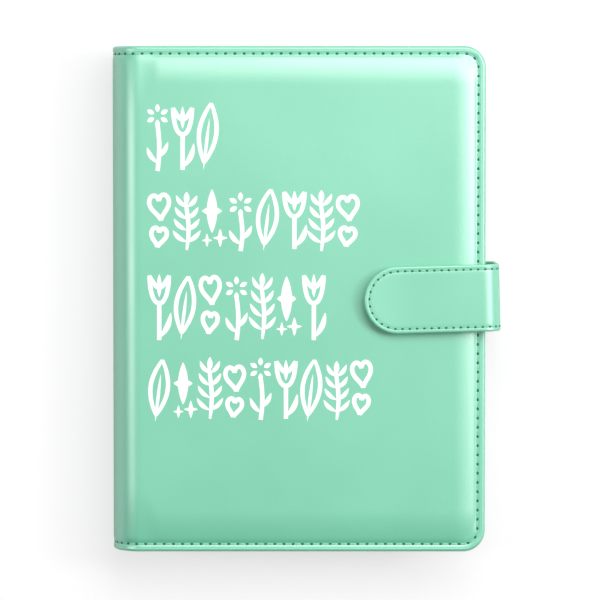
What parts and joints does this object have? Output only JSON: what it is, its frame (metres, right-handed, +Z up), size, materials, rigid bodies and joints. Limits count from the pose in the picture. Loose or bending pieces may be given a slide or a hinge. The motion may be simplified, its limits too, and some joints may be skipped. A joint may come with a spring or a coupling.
{
  "type": "cash envelope ring binder wallet",
  "caption": "Padded soft-cover ring binder for cash envelopes, with a rounded spine, a six-ring mechanism, card pockets and a snap strap round its fore edge.",
  "frame": {"origin": "centre of the back cover's flat outer face, on the surface that the closed binder lies on", "axes": "+X from the spine to the fore edge, +Y to the head, +Z up through the front cover"},
  "size_m": [0.1769, 0.23, 0.0427],
  "materials": {
    "cover_leather": "satin imitation leather, mint green",
    "strap_leather": "satin imitation leather, mint green",
    "lining": "matte imitation leather",
    "pocket": "matte imitation leather",
    "foam": "soft foam",
    "board": "grey board",
    "ring_metal": "nickel plated",
    "snap_metal": "nickel plated",
    "envelope_paper": "uncoated"
  },
  "bodies": {
    "back_cover": {"rear_cover_leather": "cover_leather", "back_foam_pad": "foam", "back_board": "board", "back_lining": "lining", "document_pocket": "pocket", "spine_board": "board", "spine_lining": "lining", "ring_base_plate": "ring_metal", "ring_rivet_head": "ring_metal", "ring_rivet_tail": "ring_metal", "cash_envelopes": "envelope_paper", "strap_root": "strap_leather"},
    "front_cover": {"front_cover_leather": "cover_leather", "front_foam_pad": "foam", "front_board": "board", "front_lining": "lining", "card_pocket_1": "pocket", "card_pocket_2": "pocket", "card_pocket_3": "pocket", "snap_socket": "snap_metal", "snap_washer": "snap_metal"},
    "rings_front": {"ring_rail_front": "ring_metal", "half_ring_front_1": "ring_metal", "half_ring_front_2": "ring_metal", "half_ring_front_3": "ring_metal", "half_ring_front_4": "ring_metal", "half_ring_front_5": "ring_metal", "half_ring_front_6": "ring_metal"},
    "rings_back": {"ring_rail_back": "ring_metal", "half_ring_back_1": "ring_metal", "half_ring_back_2": "ring_metal", "half_ring_back_3": "ring_metal", "half_ring_back_4": "ring_metal", "half_ring_back_5": "ring_metal", "half_ring_back_6": "ring_metal"},
    "lever_head": {"opening_lever_head": "ring_metal"},
    "lever_tail": {"opening_lever_tail": "ring_metal"},
    "strap_side": {"strap_side": "strap_leather"},
    "strap_flap": {"strap_flap": "strap_leather", "snap_stud": "snap_metal"}
  },
  "joints": [
    {"name": "front_cover_fold", "type": "hinge", "parent": "back_cover", "child": "front_cover", "pos_m": [-0.072, 0, 0.038], "axis": [0, -1, 0], "range_deg": [0, 180]},
    {"name": "strap_root_fold", "type": "hinge", "parent": "back_cover", "child": "strap_side", "pos_m": [0.0893, 0.00114, 0.0052], "axis": [-0.0262, 0.9997, 0], "range_deg": [0, 90]},
    {"name": "strap_top_fold", "type": "hinge", "parent": "strap_side", "child": "strap_flap", "pos_m": [0.0893, 0.00114, 0.0405], "axis": [-0.0262, 0.9997, 0], "range_deg": [0, 90]},
    {"name": "ring_rail_front_turn", "type": "hinge", "parent": "back_cover", "child": "rings_front", "pos_m": [-0.0797, 0, 0.0273], "axis": [0, -1, 0], "range_deg": [0, 8]},
    {"name": "ring_rail_back_turn", "type": "hinge", "parent": "back_cover", "child": "rings_back", "pos_m": [-0.0797, 0, 0.0107], "axis": [0, 1, 0], "range_deg": [0, 8]},
    {"name": "lever_head_turn", "type": "hinge", "parent": "back_cover", "child": "lever_head", "pos_m": [-0.0808, 0.094, 0.019], "axis": [0, 0, 1], "range_deg": [0, 14]},
    {"name": "lever_tail_turn", "type": "hinge", "parent": "back_cover", "child": "lever_tail", "pos_m": [-0.0808, -0.094, 0.019], "axis": [0, 0, -1], "range_deg": [0, 14]}
  ],
  "couplings": [
    {"joint": "strap_top_fold", "follows": "strap_root_fold", "ratio": 1},
    {"joint": "ring_rail_back_turn", "follows": "ring_rail_front_turn", "ratio": 1},
    {"joint": "lever_head_turn", "follows": "ring_rail_front_turn", "ratio": 1.75},
    {"joint": "lever_tail_turn", "follows": "ring_rail_front_turn", "ratio": 1.75}
  ]
}
